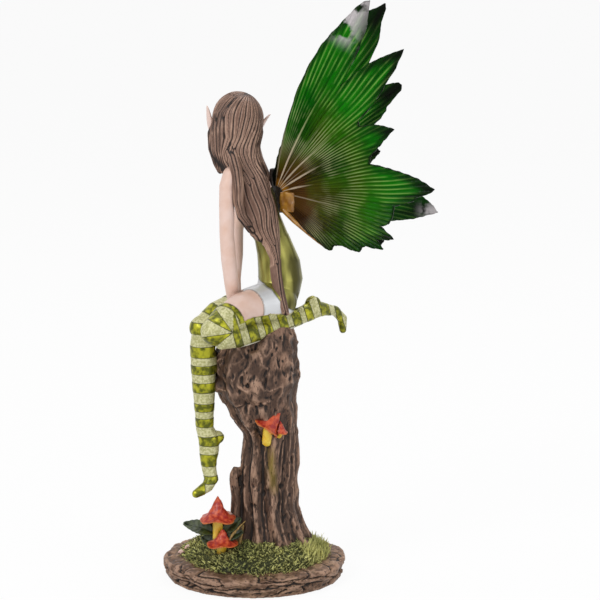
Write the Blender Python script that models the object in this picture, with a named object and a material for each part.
"""Fairy figurine: a seated fairy with two moulded wings on a tree stump base.

Four cast pieces, as the real object is put together: the stump with its round base, the
fairy, and a left and a right wing whose root tabs sit in slots in the fairy's back.
Metres, +Z up. The origin is the middle of the flat underside. -Y is the side the photo
was taken from, +X is the side the wings reach to.
"""

import math

import bmesh
import bpy
from mathutils import Matrix, Vector, noise

# The whole figurine is drawn 276 units high, and its real height sets the size of a unit.
OVERALL_HEIGHT = 0.276
DRAWN_HEIGHT = 276.0
MM = OVERALL_HEIGHT / DRAWN_HEIGHT

# The base and the stump.
BASE_WIDTH = 87.0 * MM
BASE_DEPTH = 78.0 * MM
BASE_RIM_HEIGHT = 8.5 * MM
BASE_LUMP = 1.1 * MM
MOSS_WIDTH = 76.0 * MM
MOSS_DEPTH = 66.0 * MM
MOSS_HEIGHT = 20.0 * MM
MOSS_TUFTS = 10
TUFT_WIDTH = 17.0 * MM
TUFT_RISE = 2.0 * MM
BARK_RIDGE = 0.085
BARK_RIDGES = 9
UNDERSIDE_TRIM = 20.0 * MM

# The wings.
WING_THICKNESS = 1.3 * MM
WING_PLEAT = 0.25 * MM
WING_CUP = 3.0 * MM
CUP_REACH = 100.0 * MM
WING_INNER_REACH = 4.0 * MM
TAB_THICKNESS = 2.4 * MM
TAB_HEIGHT = 13.0 * MM
TAB_IN = 6.0 * MM
TAB_OUT = 7.0 * MM
LEFT_WING_TURN = -28.0
RIGHT_WING_TURN = 14.0

# Clearances.
TAB_CLEARANCE = 0.3 * MM
SEAT_CLEARANCE = 0.4 * MM

# Fineness of the surfaces.
FIGURE_GRAIN = 0.85 * MM
STUMP_GRAIN = 1.2 * MM
FIGURE_FACES = 5600
STUMP_FACES = 5200
RING_SIDES = 20

# Her left-hand side at the chest and the hips, and the front and left of her face.
CHEST_LEFT = Vector((-0.208, -0.978, 0.0))
HIP_LEFT = Vector((0.2, -0.98, 0.0))
FACE_FRONT = Vector((-0.17, 0.985, 0.0))
FACE_LEFT = Vector((-0.985, -0.17, 0.12))


def at(x: float, y: float, z: float) -> Vector:
    """Give a place in metres from millimetres."""
    return Vector((x, y, z)) * MM


# Middle of the trunk, half width and half depth at each height.
TRUNK = (
    (at(8.5, 0.0, 4.0), 27.0 * MM, 24.0 * MM),
    (at(8.6, 0.0, 10.0), 22.0 * MM, 20.5 * MM),
    (at(8.5, 0.0, 17.0), 17.8 * MM, 17.0 * MM),
    (at(7.6, 0.0, 25.0), 15.6 * MM, 15.0 * MM),
    (at(6.7, 0.0, 34.0), 13.9 * MM, 13.6 * MM),
    (at(6.6, 0.0, 46.0), 13.5 * MM, 13.5 * MM),
    (at(7.2, 0.0, 58.0), 13.6 * MM, 13.5 * MM),
    (at(7.9, -0.5, 68.0), 13.3 * MM, 13.8 * MM),
    (at(7.2, -2.0, 75.0), 13.3 * MM, 15.0 * MM),
    (at(4.6, -4.0, 83.0), 15.6 * MM, 18.0 * MM),
    (at(1.4, -5.0, 90.0), 18.6 * MM, 20.0 * MM),
    (at(0.9, -5.0, 97.5), 19.5 * MM, 21.0 * MM),
    (at(0.9, -5.0, 104.5), 19.6 * MM, 21.0 * MM),
    (at(2.4, -5.0, 110.5), 19.0 * MM, 20.5 * MM),
    (at(5.2, -4.0, 116.0), 16.4 * MM, 19.0 * MM),
    (at(7.8, -2.0, 121.0), 12.6 * MM, 15.0 * MM),
    (at(9.0, -0.5, 126.5), 8.5 * MM, 9.0 * MM),
)
# The broken branch stub against the left of the trunk, and the roots.
STUB = (
    (at(-8.5, -4.0, 6.0), 6.0 * MM),
    (at(-8.6, -5.0, 30.0), 4.2 * MM),
    (at(-7.8, -5.0, 51.5), 3.4 * MM),
)
ROOTS = (
    (
        (at(14.0, -4.0, 24.0), 7.0 * MM),
        (at(22.0, -8.0, 15.0), 5.0 * MM),
        (at(30.0, -11.0, 9.0), 3.0 * MM),
    ),
    (
        (at(8.0, 8.0, 24.0), 7.5 * MM),
        (at(10.0, 19.0, 13.0), 5.5 * MM),
        (at(12.0, 28.0, 8.0), 3.0 * MM),
    ),
    (
        (at(-2.0, 5.0, 20.0), 6.0 * MM),
        (at(-13.0, 11.0, 12.0), 5.0 * MM),
        (at(-22.0, 15.0, 8.0), 3.0 * MM),
    ),
)
KNOTS = (
    (at(-8.0, -13.5, 103.5), 10.0 * MM),
    (at(3.0, -16.0, 101.0), 9.6 * MM),
    (at(-5.0, -14.0, 93.0), 9.0 * MM),
    (at(11.0, -8.0, 110.0), 10.5 * MM),
    (at(16.6, -2.0, 68.0), 6.0 * MM),
    (at(9.5, 7.0, 98.0), 10.0 * MM),
    (at(-6.0, 6.0, 103.0), 10.5 * MM),
)
# Each toadstool: tip of the cap, middle of its rim, rim radius, foot of the stem, stem radius.
TOADSTOOLS = (
    (at(-17.0, -16.0, 42.9), at(-17.0, -16.0, 31.2), 8.8 * MM, at(-17.0, -15.0, 10.0), 2.6 * MM),
    (at(-14.7, -20.0, 27.0), at(-14.7, -20.0, 20.4), 7.4 * MM, at(-15.6, -18.0, 9.0), 2.4 * MM),
    (at(12.2, -17.5, 84.5), at(5.7, -19.5, 75.8), 6.3 * MM, at(6.0, -11.0, 66.5), 2.5 * MM),
    (at(12.4, -18.2, 79.8), at(12.8, -18.6, 73.6), 3.2 * MM, at(11.0, -10.0, 70.0), 2.0 * MM),
)
# The toadstool cap's outline from the stem to the tip: share of its radius and of its height.
CAP_PROFILE = (
    (0.25, 0.10),
    (0.75, -0.02),
    (1.0, -0.10),
    (0.97, 0.06),
    (0.62, 0.42),
    (0.34, 0.72),
    (0.12, 0.97),
)
# Leaves: middle, half length, half width, half thickness, turn about Z, tilt.
LEAVES = (
    (at(-26.0, -12.0, 26.0), 8.5 * MM, 4.0 * MM, 1.4 * MM, 200.0, 22.0),
    (at(-10.0, -15.0, 27.5), 7.0 * MM, 2.8 * MM, 1.3 * MM, 60.0, 45.0),
    (at(-10.0, -17.0, 22.0), 6.5 * MM, 2.4 * MM, 1.6 * MM, 20.0, 45.0),
    (at(-25.0, -12.0, 20.0), 8.0 * MM, 4.5 * MM, 3.0 * MM, 190.0, 10.0),
)
# The fairy's torso: middle, half width across the shoulders or hips, half depth front to back.
TORSO = (
    (at(11.0, -0.5, 130.0), 6.5 * MM, 5.5 * MM),
    (at(11.2, -0.5, 133.5), 10.0 * MM, 8.6 * MM),
    (at(11.5, -0.5, 138.5), 11.6 * MM, 9.8 * MM),
    (at(11.8, 0.0, 144.5), 11.0 * MM, 9.2 * MM),
    (at(11.0, 0.0, 151.0), 9.4 * MM, 8.2 * MM),
    (at(9.0, 0.0, 157.5), 8.2 * MM, 7.6 * MM),
    (at(6.4, 0.0, 165.0), 7.9 * MM, 7.6 * MM),
    (at(3.8, 0.0, 173.0), 8.8 * MM, 8.2 * MM),
    (at(1.8, 0.0, 181.0), 10.2 * MM, 8.6 * MM),
    (at(0.0, 0.0, 188.0), 11.0 * MM, 7.8 * MM),
    (at(-2.0, 0.0, 193.5), 11.0 * MM, 6.2 * MM),
    (at(-3.6, 0.0, 197.5), 5.5 * MM, 4.6 * MM),
    (at(-5.0, 0.5, 201.5), 3.9 * MM, 3.9 * MM),
    (at(-6.2, 1.2, 208.0), 3.6 * MM, 3.6 * MM),
)
BUST = ((at(-5.2, -3.2, 183.0), 4.6 * MM), (at(-3.4, 5.8, 183.0), 4.6 * MM))
HEAD_MIDDLE = at(-6.8, 3.5, 218.5)
HEAD_HALF = (9.8 * MM, 11.6 * MM, 12.6 * MM)
CHIN = (at(-7.6, 10.2, 208.6), (5.2 * MM, 5.0 * MM, 5.2 * MM))
NOSE = (at(-9.0, 14.6, 214.6), (1.5 * MM, 2.0 * MM, 2.4 * MM))
LEFT_EAR = (
    (at(-17.0, 3.5, 214.5), 2.2 * MM),
    (at(-18.4, 1.5, 219.5), 1.8 * MM),
    (at(-20.6, -1.5, 225.0), 0.8 * MM),
)
RIGHT_EAR = (
    (at(3.6, 6.0, 212.5), 2.2 * MM),
    (at(5.4, 4.5, 217.0), 1.8 * MM),
    (at(8.0, 2.5, 221.4), 0.8 * MM),
)
LEFT_ARM = (
    (at(-8.6, -13.2, 195.0), 4.9 * MM),
    (at(-10.6, -15.2, 190.0), 4.3 * MM),
    (at(-11.2, -15.6, 181.0), 3.7 * MM),
    (at(-11.4, -16.0, 167.3), 3.4 * MM),
    (at(-10.8, -16.6, 156.0), 3.5 * MM),
    (at(-9.8, -17.2, 144.0), 2.7 * MM),
    (at(-9.4, -17.4, 139.0), 2.6 * MM),
)
RIGHT_ARM = (
    (at(1.0, 11.8, 194.5), 4.9 * MM),
    (at(-0.6, 13.4, 189.0), 4.3 * MM),
    (at(-4.0, 12.4, 180.0), 3.7 * MM),
    (at(-8.2, 8.6, 166.5), 3.4 * MM),
    (at(-8.4, 2.6, 155.0), 3.5 * MM),
    (at(-8.6, -4.0, 144.5), 2.7 * MM),
    (at(-9.0, -6.4, 139.5), 2.6 * MM),
)
LEFT_HAND = (at(-11.0, -16.6, 136.2), (5.2 * MM, 3.4 * MM, 2.4 * MM))
RIGHT_HAND = (at(-11.0, -8.6, 136.0), (5.2 * MM, 3.4 * MM, 2.4 * MM))
LEFT_LEG = (
    (at(10.5, -6.0, 134.5), 9.4 * MM),
    (at(4.1, -12.0, 133.6), 9.0 * MM),
    (at(-5.4, -22.0, 133.0), 8.0 * MM),
    (at(-11.5, -29.5, 130.0), 7.4 * MM),
    (at(-16.6, -36.5, 126.4), 6.6 * MM),
    (at(-13.0, -36.0, 123.2), 5.6 * MM),
    (at(-5.0, -30.5, 123.0), 4.8 * MM),
    (at(4.0, -21.0, 124.6), 4.3 * MM),
    (at(14.4, -9.5, 126.4), 3.9 * MM),
    (at(24.2, 0.8, 128.0), 3.7 * MM),
    (at(27.6, 3.2, 130.8), 3.2 * MM),
    (at(32.2, 7.0, 127.4), 2.9 * MM),
    (at(38.6, 12.4, 126.2), 2.6 * MM),
    (at(42.2, 15.6, 121.4), 2.4 * MM),
    (at(42.2, 16.0, 116.2), 1.5 * MM),
)
RIGHT_LEG = (
    (at(10.8, 5.5, 133.5), 9.2 * MM),
    (at(2.0, 1.5, 131.6), 8.8 * MM),
    (at(-8.0, -4.5, 130.0), 7.9 * MM),
    (at(-16.0, -9.6, 127.6), 7.2 * MM),
    (at(-22.0, -13.0, 123.2), 6.4 * MM),
    (at(-23.6, -14.0, 115.0), 5.6 * MM),
    (at(-23.4, -14.0, 104.9), 5.5 * MM),
    (at(-23.1, -14.0, 93.4), 5.0 * MM),
    (at(-23.0, -14.0, 81.4), 4.1 * MM),
    (at(-21.6, -13.8, 75.0), 4.1 * MM),
    (at(-19.6, -13.6, 70.2), 4.2 * MM),
    (at(-20.6, -14.6, 62.4), 3.9 * MM),
    (at(-20.6, -15.6, 54.6), 3.2 * MM),
    (at(-21.4, -17.4, 49.6), 2.8 * MM),
    (at(-24.0, -19.8, 47.4), 2.4 * MM),
    (at(-26.6, -21.6, 46.2), 1.8 * MM),
)
RIGHT_HEEL = (at(-16.8, -13.0, 70.4), (2.9 * MM, 2.8 * MM, 2.8 * MM))
LEFT_HEEL = (at(27.0, 2.8, 132.4), (2.9 * MM, 2.8 * MM, 3.0 * MM))
# Hair over the head, then the long fall of it down her back: middle, half width, half depth.
HAIR_CAP = (at(-7.2, 0.0, 219.0), (12.4 * MM, 12.6 * MM, 13.4 * MM))
HAIR_FALL = (
    (at(-7.6, -4.0, 214.0), 12.4 * MM, 8.5 * MM),
    (at(-7.9, -6.5, 206.0), 11.4 * MM, 6.5 * MM),
    (at(-5.4, -8.5, 199.5), 9.9 * MM, 5.0 * MM),
    (at(-1.2, -10.2, 192.6), 8.4 * MM, 4.4 * MM),
    (at(-0.3, -10.6, 184.8), 8.9 * MM, 4.2 * MM),
    (at(1.7, -10.6, 177.2), 9.4 * MM, 3.8 * MM),
    (at(5.0, -10.0, 169.8), 7.5 * MM, 3.4 * MM),
    (at(8.8, -9.4, 162.4), 3.9 * MM, 3.0 * MM),
    (at(10.2, -9.4, 155.6), 2.6 * MM, 2.6 * MM),
    (at(10.7, -10.8, 148.0), 2.2 * MM, 2.3 * MM),
    (at(12.1, -11.8, 140.5), 2.2 * MM, 2.1 * MM),
    (at(14.3, -11.6, 132.4), 2.0 * MM, 1.8 * MM),
)
LEFT_LOCK = (
    (at(-17.6, -1.0, 213.0), 3.4 * MM),
    (at(-18.6, -4.0, 206.0), 3.2 * MM),
    (at(-17.6, -7.0, 199.0), 2.8 * MM),
    (at(-16.4, -9.6, 193.0), 1.4 * MM),
)
WING_ROOT_LEFT = at(10.5, -4.0, 184.5)
WING_ROOT_RIGHT = at(10.5, 3.5, 184.5)

# The wing edges, from the leading edge round to the amber rib: degrees above level and
# reach from the root in millimetres. Each high reach is a tip and each low one a notch.
LEFT_WING_EDGE = (
    (101, 9), (95, 10.5), (89.5, 13), (83.5, 20), (79.5, 26.5), (77, 45), (74, 60.5), (70.5, 75.5),
    (67, 87.5), (65, 96), (63.5, 101.5), (62, 103.5), (61, 98), (59.5, 93), (58.3, 83.5),
    (57.5, 76.5), (56.6, 62), (55, 69), (52.5, 79.5), (49.5, 88.5), (47, 96), (45, 87),
    (43.5, 78), (42, 72), (41, 65), (40, 57), (38, 56), (33.5, 64.5), (29, 70.5), (27, 64),
    (24.8, 58.5), (23.3, 54.5), (19.5, 52.5), (14, 64), (9.5, 74.5), (5.5, 82), (4.3, 79.5),
    (3, 73), (1.5, 71), (-1, 62), (-6, 61.5), (-9, 60), (-11, 56.5), (-14.5, 64), (-16, 61),
    (-17.3, 55.5), (-20.5, 60.5), (-22, 56.5), (-23.2, 52), (-24.8, 50.5), (-27.5, 50.5),
    (-28.7, 48.5), (-29.9, 44.5), (-31, 41), (-34.5, 38), (-38, 38.5), (-40, 37), (-42, 28.5),
    (-46.5, 17.5), (-53, 11), (-62, 9),
)
RIGHT_WING_EDGE = (
    (98, 9), (91, 9.5), (83.5, 12), (76, 25), (73.5, 43), (70.5, 60), (67.5, 76), (65.5, 87.5), (63, 93),
    (60.5, 97), (58.8, 101.5), (57.8, 99.5), (57, 93), (55.8, 90), (54, 83.5), (52.8, 74.5),
    (51, 67), (45.5, 68.5), (42.5, 72), (39.8, 77.5), (38.3, 78), (37, 76), (35.4, 66.5),
    (34, 64.5), (32.8, 61), (31.5, 55), (29.5, 50), (24, 50), (20.5, 53), (18.5, 54),
    (16.5, 51), (14.5, 48), (11, 45), (2.5, 58), (-4, 72), (-7, 77.5), (-9.3, 80.5),
    (-10.8, 75.5), (-12.3, 71.5), (-13.5, 68), (-14.6, 63.5), (-15.8, 60), (-17.5, 55),
    (-20.5, 54.5), (-23.5, 57.5), (-26, 59), (-28.2, 58.5), (-29.8, 53.5), (-32.5, 45.5),
    (-39, 37.5), (-45, 29), (-50, 18), (-56, 12), (-64, 9),
)


def clear_everything() -> None:
    """Take the starting objects out."""
    for obj in list(bpy.data.objects):
        bpy.data.objects.remove(obj)


def new_object(name: str, shape: bmesh.types.BMesh) -> bpy.types.Object:
    """Put a finished shape into the scene under its name."""
    mesh = bpy.data.meshes.new(name)
    shape.to_mesh(mesh)
    shape.free()
    obj = bpy.data.objects.new(name, mesh)
    bpy.context.scene.collection.objects.link(obj)
    return obj


def paint(obj: bpy.types.Object, name: str, colour: tuple, roughness: float, clear: float) -> None:
    """Give a piece its own paint."""
    material = bpy.data.materials.new(name)
    material.use_nodes = True
    shader = material.node_tree.nodes["Principled BSDF"]
    shader.inputs["Base Color"].default_value = (*colour, 1.0)
    shader.inputs["Roughness"].default_value = roughness
    shader.inputs["Alpha"].default_value = clear
    obj.data.materials.clear()
    obj.data.materials.append(material)


def add_rings(shape: bmesh.types.BMesh, rings: list) -> None:
    """Skin a closed body over a row of equal rings of places."""
    rows = [[shape.verts.new(place) for place in ring] for ring in rings]
    sides = len(rows[0])
    for low, high in zip(rows, rows[1:]):
        for i in range(sides):
            j = (i + 1) % sides
            shape.faces.new((low[i], low[j], high[j], high[i]))
    shape.faces.new(list(reversed(rows[0])))
    shape.faces.new(rows[-1])


def add_limb(shape: bmesh.types.BMesh, stations: tuple, wide_way: Vector | None = None) -> None:
    """Build a limb through its stations, with a round ball at each one."""
    rings = []
    count = len(stations)
    across = wide_way if wide_way is not None else Vector((0.3, 0.2, 0.93))
    for k, station in enumerate(stations):
        middle = station[0]
        wide = station[1]
        deep = station[-1]
        along = (stations[min(k + 1, count - 1)][0] - stations[max(k - 1, 0)][0]).normalized()
        side = (across - along * across.dot(along)).normalized()
        if wide_way is None:
            across = side
        front = along.cross(side)
        ring = []
        for i in range(RING_SIDES):
            turn = 2.0 * math.pi * i / RING_SIDES
            ring.append(middle + side * (wide * math.cos(turn)) + front * (deep * math.sin(turn)))
        rings.append(ring)
        if wide_way is None:
            add_ball(shape, middle, (wide, wide, wide))
    add_rings(shape, rings)


def add_ball(
    shape: bmesh.types.BMesh,
    middle: Vector,
    half: tuple,
    turn: Matrix | None = None,
) -> None:
    """Add a ball, stretched to its three half sizes and turned."""
    place = Matrix.Translation(middle)
    if turn is not None:
        place = place @ turn.to_4x4()
    place = place @ Matrix.Diagonal((half[0], half[1], half[2], 1.0))
    bmesh.ops.create_uvsphere(shape, u_segments=20, v_segments=12, radius=1.0, matrix=place)


def face_turn() -> Matrix:
    """Give the turn of her head: across, front to back, and up."""
    across = FACE_LEFT.normalized()
    front = (FACE_FRONT - across * FACE_FRONT.dot(across)).normalized()
    up = front.cross(across)
    return Matrix((across, front, up)).transposed()


def fused(shape: bmesh.types.BMesh, grain: float, faces: int, calm: int) -> bmesh.types.BMesh:
    """Fuse overlapping bodies into one skin, smooth it, and keep at most the faces asked for."""
    work = new_object("work", shape)
    work.data.materials.clear()
    remesh = work.modifiers.new("Fuse", "REMESH")
    remesh.mode = "VOXEL"
    remesh.voxel_size = grain
    smooth = work.modifiers.new("Calm", "SMOOTH")
    smooth.factor = 0.5
    smooth.iterations = calm
    graph = bpy.context.evaluated_depsgraph_get()
    fine = bpy.data.meshes.new_from_object(work.evaluated_get(graph))
    fine.calc_loop_triangles()
    share = min(1.0, faces / len(fine.loop_triangles))
    work.modifiers.clear()
    work.data = fine
    thin = work.modifiers.new("Thin", "DECIMATE")
    thin.ratio = share
    graph = bpy.context.evaluated_depsgraph_get()
    coarse = bpy.data.meshes.new_from_object(work.evaluated_get(graph))
    bpy.data.objects.remove(work)
    result = bmesh.new()
    result.from_mesh(coarse)
    return largest_piece(result)


def largest_piece(shape: bmesh.types.BMesh) -> bmesh.types.BMesh:
    """Keep the biggest connected skin and drop stray specks and inner pockets."""
    left = set(shape.verts)
    groups = []
    while left:
        seed = left.pop()
        group = {seed}
        front = [seed]
        while front:
            vertex = front.pop()
            for edge in vertex.link_edges:
                other = edge.other_vert(vertex)
                if other not in group:
                    group.add(other)
                    front.append(other)
        left -= group
        groups.append(group)
    groups.sort(key=len)
    spare = [vertex for group in groups[:-1] for vertex in group]
    bmesh.ops.delete(shape, geom=spare, context="VERTS")
    return shape


def cut_away(obj: bpy.types.Object, cutter: bpy.types.Object) -> None:
    """Cut one body out of another and drop the cutter."""
    cut = obj.modifiers.new("Cut", "BOOLEAN")
    cut.operation = "DIFFERENCE"
    cut.solver = "EXACT"
    cut.object = cutter
    graph = bpy.context.evaluated_depsgraph_get()
    result = bpy.data.meshes.new_from_object(obj.evaluated_get(graph))
    obj.modifiers.clear()
    obj.data = result
    bpy.data.objects.remove(cutter)


def tidy_skin(obj: bpy.types.Object, reach: float) -> None:
    """Merge slivers, make triangles and face the skin outward."""
    shape = bmesh.new()
    shape.from_mesh(obj.data)
    bmesh.ops.remove_doubles(shape, verts=shape.verts, dist=reach)
    bmesh.ops.dissolve_degenerate(shape, edges=shape.edges, dist=reach)
    bmesh.ops.triangulate(shape, faces=shape.faces)
    largest_piece(shape)
    bmesh.ops.recalc_face_normals(shape, faces=shape.faces)
    shape.to_mesh(obj.data)
    shape.free()
    obj.data.shade_smooth()


def figure_shape() -> bmesh.types.BMesh:
    """Build the seated fairy from her torso, limbs, head and hair."""
    shape = bmesh.new()
    add_limb(shape, TORSO[:5], HIP_LEFT)
    add_limb(shape, TORSO[4:], CHEST_LEFT)
    for middle, radius in BUST:
        add_ball(shape, middle, (radius, radius, radius))
    for limb in (LEFT_ARM, RIGHT_ARM, LEFT_LEG, RIGHT_LEG, LEFT_LOCK, LEFT_EAR, RIGHT_EAR):
        add_limb(shape, limb)
    turn = face_turn()
    for middle, half in ((HEAD_MIDDLE, HEAD_HALF), CHIN, NOSE, HAIR_CAP):
        add_ball(shape, middle, half, turn)
    for middle, half in (LEFT_HAND, RIGHT_HAND, LEFT_HEEL, RIGHT_HEEL):
        add_ball(shape, middle, half)
    add_limb(shape, HAIR_FALL, Vector((1.0, 0.0, 0.0)))
    return fused(shape, FIGURE_GRAIN, FIGURE_FACES, 2)


def grown(shape: bmesh.types.BMesh, reach: float) -> bmesh.types.BMesh:
    """Swell a skin outward by the clearance."""
    copy = shape.copy()
    copy.normal_update()
    for vertex, normal in [(v, v.normal.copy()) for v in copy.verts]:
        sharp = max(0.55, vertex.calc_shell_factor() ** -1)
        vertex.co += normal * (reach / sharp)
    return copy


def bark_ring(middle: Vector, wide: float, deep: float, sides: int) -> list:
    """Give one ring of the trunk with its bark ridges."""
    height = middle.z / MM
    ring = []
    for i in range(sides):
        turn = 2.0 * math.pi * i / sides
        ridge = math.sin(BARK_RIDGES * turn + 0.9 * math.sin(3.0 * turn) + 0.022 * height)
        place = Vector((math.cos(turn) * 1.7, math.sin(turn) * 1.7, 0.045 * height))
        swell = 1.0 + BARK_RIDGE * ridge + 0.10 * noise.noise(place)
        ring.append(middle + Vector((wide * swell * math.cos(turn), deep * swell * math.sin(turn), 0.0)))
    return ring


def add_stump(shape: bmesh.types.BMesh) -> None:
    """Add the trunk, its knots, the broken stub and the roots."""
    add_rings(shape, [bark_ring(middle, wide, deep, 60) for middle, wide, deep in TRUNK])
    for middle, radius in KNOTS:
        add_ball(shape, middle, (radius, radius * 0.8, radius * 1.1))
    add_limb(shape, STUB)
    for root in ROOTS:
        add_limb(shape, root)


def add_base(shape: bmesh.types.BMesh) -> None:
    """Add the round base with its rough rim and the moss mound on it."""
    rings = []
    for height, inset in ((-3.0, 2.0), (0.0, 1.6), (1.5, 0.4), (4.5, 0.0), (7.2, 0.8), (8.5, 3.0)):
        ring = []
        for i in range(72):
            turn = 2.0 * math.pi * i / 72
            place = Vector((math.cos(turn) * 3.2, math.sin(turn) * 3.2, height * 0.12))
            lump = BASE_LUMP * noise.noise(place)
            half_wide = BASE_WIDTH / 2.0 - inset * MM + lump
            half_deep = BASE_DEPTH / 2.0 - inset * MM + lump
            ring.append(Vector((half_wide * math.cos(turn), half_deep * math.sin(turn), height * MM)))
        rings.append(ring)
    add_rings(shape, rings)
    half = (MOSS_WIDTH / 2.0, MOSS_DEPTH / 2.0, MOSS_HEIGHT - BASE_RIM_HEIGHT / 2.0)
    add_ball(shape, Vector((0.0, 0.0, BASE_RIM_HEIGHT / 2.0)), half)
    tuft_half = (TUFT_WIDTH / 2.0, TUFT_WIDTH / 2.0, 3.0 * TUFT_RISE)
    for i in range(MOSS_TUFTS):
        turn = 2.0 * math.pi * i / MOSS_TUFTS
        share = 0.72 if i % 2 else 0.60
        rise = BASE_RIM_HEIGHT / 2.0 + half[2] * math.sqrt(1.0 - share**2) - 2.0 * TUFT_RISE
        place = Vector((half[0] * share * math.cos(turn), half[1] * share * math.sin(turn), rise))
        add_ball(shape, place, tuft_half)


def add_toadstool(
    shape: bmesh.types.BMesh,
    tip: Vector,
    rim: Vector,
    radius: float,
    foot: Vector,
    stem: float,
) -> None:
    """Add one toadstool: a pointed cap with a drawn-in underside on a short stem."""
    axis = (tip - rim).normalized()
    side = axis.orthogonal().normalized()
    front = axis.cross(side)
    height = (tip - rim).length
    rings = []
    for share, lift in CAP_PROFILE:
        ring = []
        for i in range(16):
            turn = 2.0 * math.pi * i / 16
            wave = 0.06 * math.sin(3.0 * turn) * share
            out = side * math.cos(turn) + front * math.sin(turn)
            ring.append(rim + axis * (height * (lift + wave)) + out * (radius * share))
        rings.append(ring)
    add_rings(shape, rings)
    add_limb(shape, ((foot, stem), (rim + axis * (0.25 * height), stem)))


def stump_shape() -> bmesh.types.BMesh:
    """Build the stump, its base and everything cast on them."""
    shape = bmesh.new()
    add_base(shape)
    add_stump(shape)
    for toadstool in TOADSTOOLS:
        add_toadstool(shape, *toadstool)
    for middle, long, wide, thick, turn, tilt in LEAVES:
        lay = Matrix.Rotation(math.radians(turn), 3, "Z") @ Matrix.Rotation(math.radians(-tilt), 3, "Y")
        add_ball(shape, middle, (long, wide, thick), lay)
    return fused(shape, STUMP_GRAIN, STUMP_FACES, 1)


def wing_shape(
    edge: tuple,
    turn: float,
    root: Vector,
    grow: float,
    reach_limit: float | None,
) -> bmesh.types.BMesh:
    """Build one wing as a fan from its root, pleated, cupped and with a ragged edge."""
    along = Vector((math.cos(math.radians(turn)), math.sin(math.radians(turn)), 0.0))
    up = Vector((0.0, 0.0, 1.0))
    face = along.cross(up)
    outward = 1.0 if turn < 0.0 else -1.0
    shape = bmesh.new()
    sheets = []
    half = WING_THICKNESS / 2.0 + grow
    for side in (1.0, -1.0):
        rows = []
        for k, (degrees, reach) in enumerate(edge):
            angle = math.radians(degrees)
            far = reach * MM + grow
            if reach_limit is not None:
                far = min(far, reach_limit)
            pleat = WING_PLEAT * (1.0 if k % 2 else -1.0)
            row = []
            for share in (0.0, 0.3, 0.62, 1.0):
                at_reach = WING_INNER_REACH + (far - WING_INNER_REACH) * share
                cup = WING_CUP * outward * math.sin(min(1.0, at_reach / CUP_REACH) * math.pi) * 0.6
                fade = min(1.0, max(0.0, (at_reach - TAB_OUT) / (2.0 * TAB_OUT)))
                offset = side * half + (cup + pleat) * fade
                flat = along * math.cos(angle) + up * math.sin(angle)
                row.append(shape.verts.new(root + flat * at_reach + face * offset))
            rows.append(row)
        sheets.append(rows)
    front, back = sheets
    last = len(edge) - 1
    rings = len(front[0]) - 1
    for k in range(last):
        for j in range(rings):
            shape.faces.new((front[k][j], front[k][j + 1], front[k + 1][j + 1], front[k + 1][j]))
            shape.faces.new((back[k][j + 1], back[k][j], back[k + 1][j], back[k + 1][j + 1]))
        for j in (0, rings):
            shape.faces.new((front[k][j], front[k + 1][j], back[k + 1][j], back[k][j]))
    for k in (0, last):
        for j in range(rings):
            shape.faces.new((front[k][j], front[k][j + 1], back[k][j + 1], back[k][j]))
    bmesh.ops.triangulate(shape, faces=shape.faces)
    bmesh.ops.recalc_face_normals(shape, faces=shape.faces)
    return shape


def tab_shape(turn: float, root: Vector, grow: float) -> bmesh.types.BMesh:
    """Build the thick root tab of a wing."""
    shape = bmesh.new()
    size = (TAB_IN + TAB_OUT + 2.0 * grow, TAB_THICKNESS + 2.0 * grow, TAB_HEIGHT + 2.0 * grow)
    place = (
        Matrix.Translation(root)
        @ Matrix.Rotation(math.radians(turn), 4, "Z")
        @ Matrix.Translation(Vector(((TAB_OUT - TAB_IN) / 2.0, 0.0, -1.5 * MM)))
        @ Matrix.Diagonal((*size, 1.0))
    )
    bmesh.ops.create_cube(shape, size=1.0, matrix=place)
    return shape


def joined(first: bpy.types.Object, second: bpy.types.Object) -> None:
    """Weld the second body onto the first."""
    weld = first.modifiers.new("Weld", "BOOLEAN")
    weld.operation = "UNION"
    weld.solver = "EXACT"
    weld.object = second
    graph = bpy.context.evaluated_depsgraph_get()
    result = bpy.data.meshes.new_from_object(first.evaluated_get(graph))
    first.modifiers.clear()
    first.data = result
    bpy.data.objects.remove(second)


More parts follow.
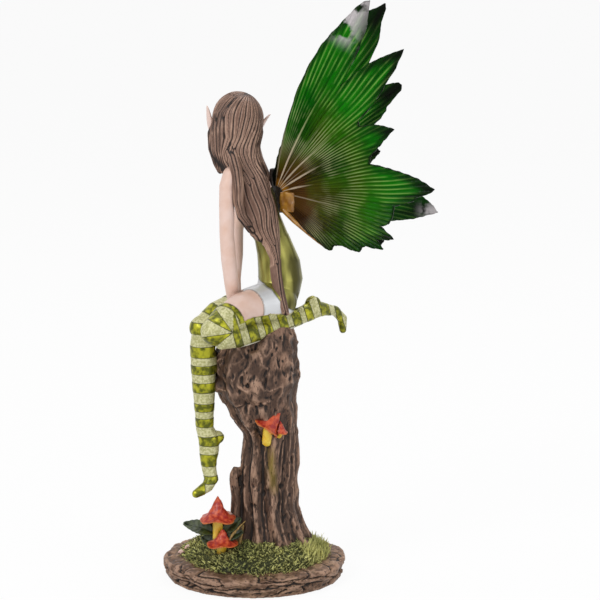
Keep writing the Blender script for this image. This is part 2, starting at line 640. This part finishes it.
def build_wing(
    name: str,
    edge: tuple,
    turn: float,
    root: Vector,
    grow: float = 0.0,
    limit: float | None = None,
) -> bpy.types.Object:
    """Build one whole wing with its tab."""
    wing = new_object(name, wing_shape(edge, turn, root, grow, limit))
    joined(wing, new_object(name + "_tab", tab_shape(turn, root, grow)))
    return wing


def trim_block() -> bpy.types.Object:
    """Give the block that leaves the underside flat."""
    shape = bmesh.new()
    place = Matrix.Translation(Vector((0.0, 0.0, -UNDERSIDE_TRIM / 2.0))) @ Matrix.Diagonal(
        (BASE_WIDTH * 1.5, BASE_WIDTH * 1.5, UNDERSIDE_TRIM, 1.0)
    )
    bmesh.ops.create_cube(shape, size=1.0, matrix=place)
    return new_object("underside_trim", shape)


def main() -> None:
    """Build the four pieces."""
    clear_everything()
    figure_skin = figure_shape()
    seat = new_object("seat_hollow", grown(figure_skin, SEAT_CLEARANCE))
    figure = new_object("fairy_figure", figure_skin)
    stump = new_object("stump_base", stump_shape())
    cut_away(stump, trim_block())
    cut_away(stump, seat)
    for edge, turn, root in (
        (LEFT_WING_EDGE, LEFT_WING_TURN, WING_ROOT_LEFT),
        (RIGHT_WING_EDGE, RIGHT_WING_TURN, WING_ROOT_RIGHT),
    ):
        cut_away(figure, build_wing("wing_slot", edge, turn, root, TAB_CLEARANCE, 2.0 * TAB_OUT))
    left = build_wing("left_wing", LEFT_WING_EDGE, LEFT_WING_TURN, WING_ROOT_LEFT)
    right = build_wing("right_wing", RIGHT_WING_EDGE, RIGHT_WING_TURN, WING_ROOT_RIGHT)
    for obj, reach in ((figure, 0.02 * MM), (stump, 0.02 * MM), (left, 0.01 * MM), (right, 0.01 * MM)):
        tidy_skin(obj, reach)
    paint(stump, "bark_brown", (0.18, 0.10, 0.07), 0.75, 1.0)
    paint(figure, "figure_paint", (0.80, 0.62, 0.52), 0.5, 1.0)
    paint(left, "left_wing_green", (0.01, 0.22, 0.02), 0.2, 0.85)
    paint(right, "right_wing_green", (0.01, 0.22, 0.02), 0.2, 0.85)


main()
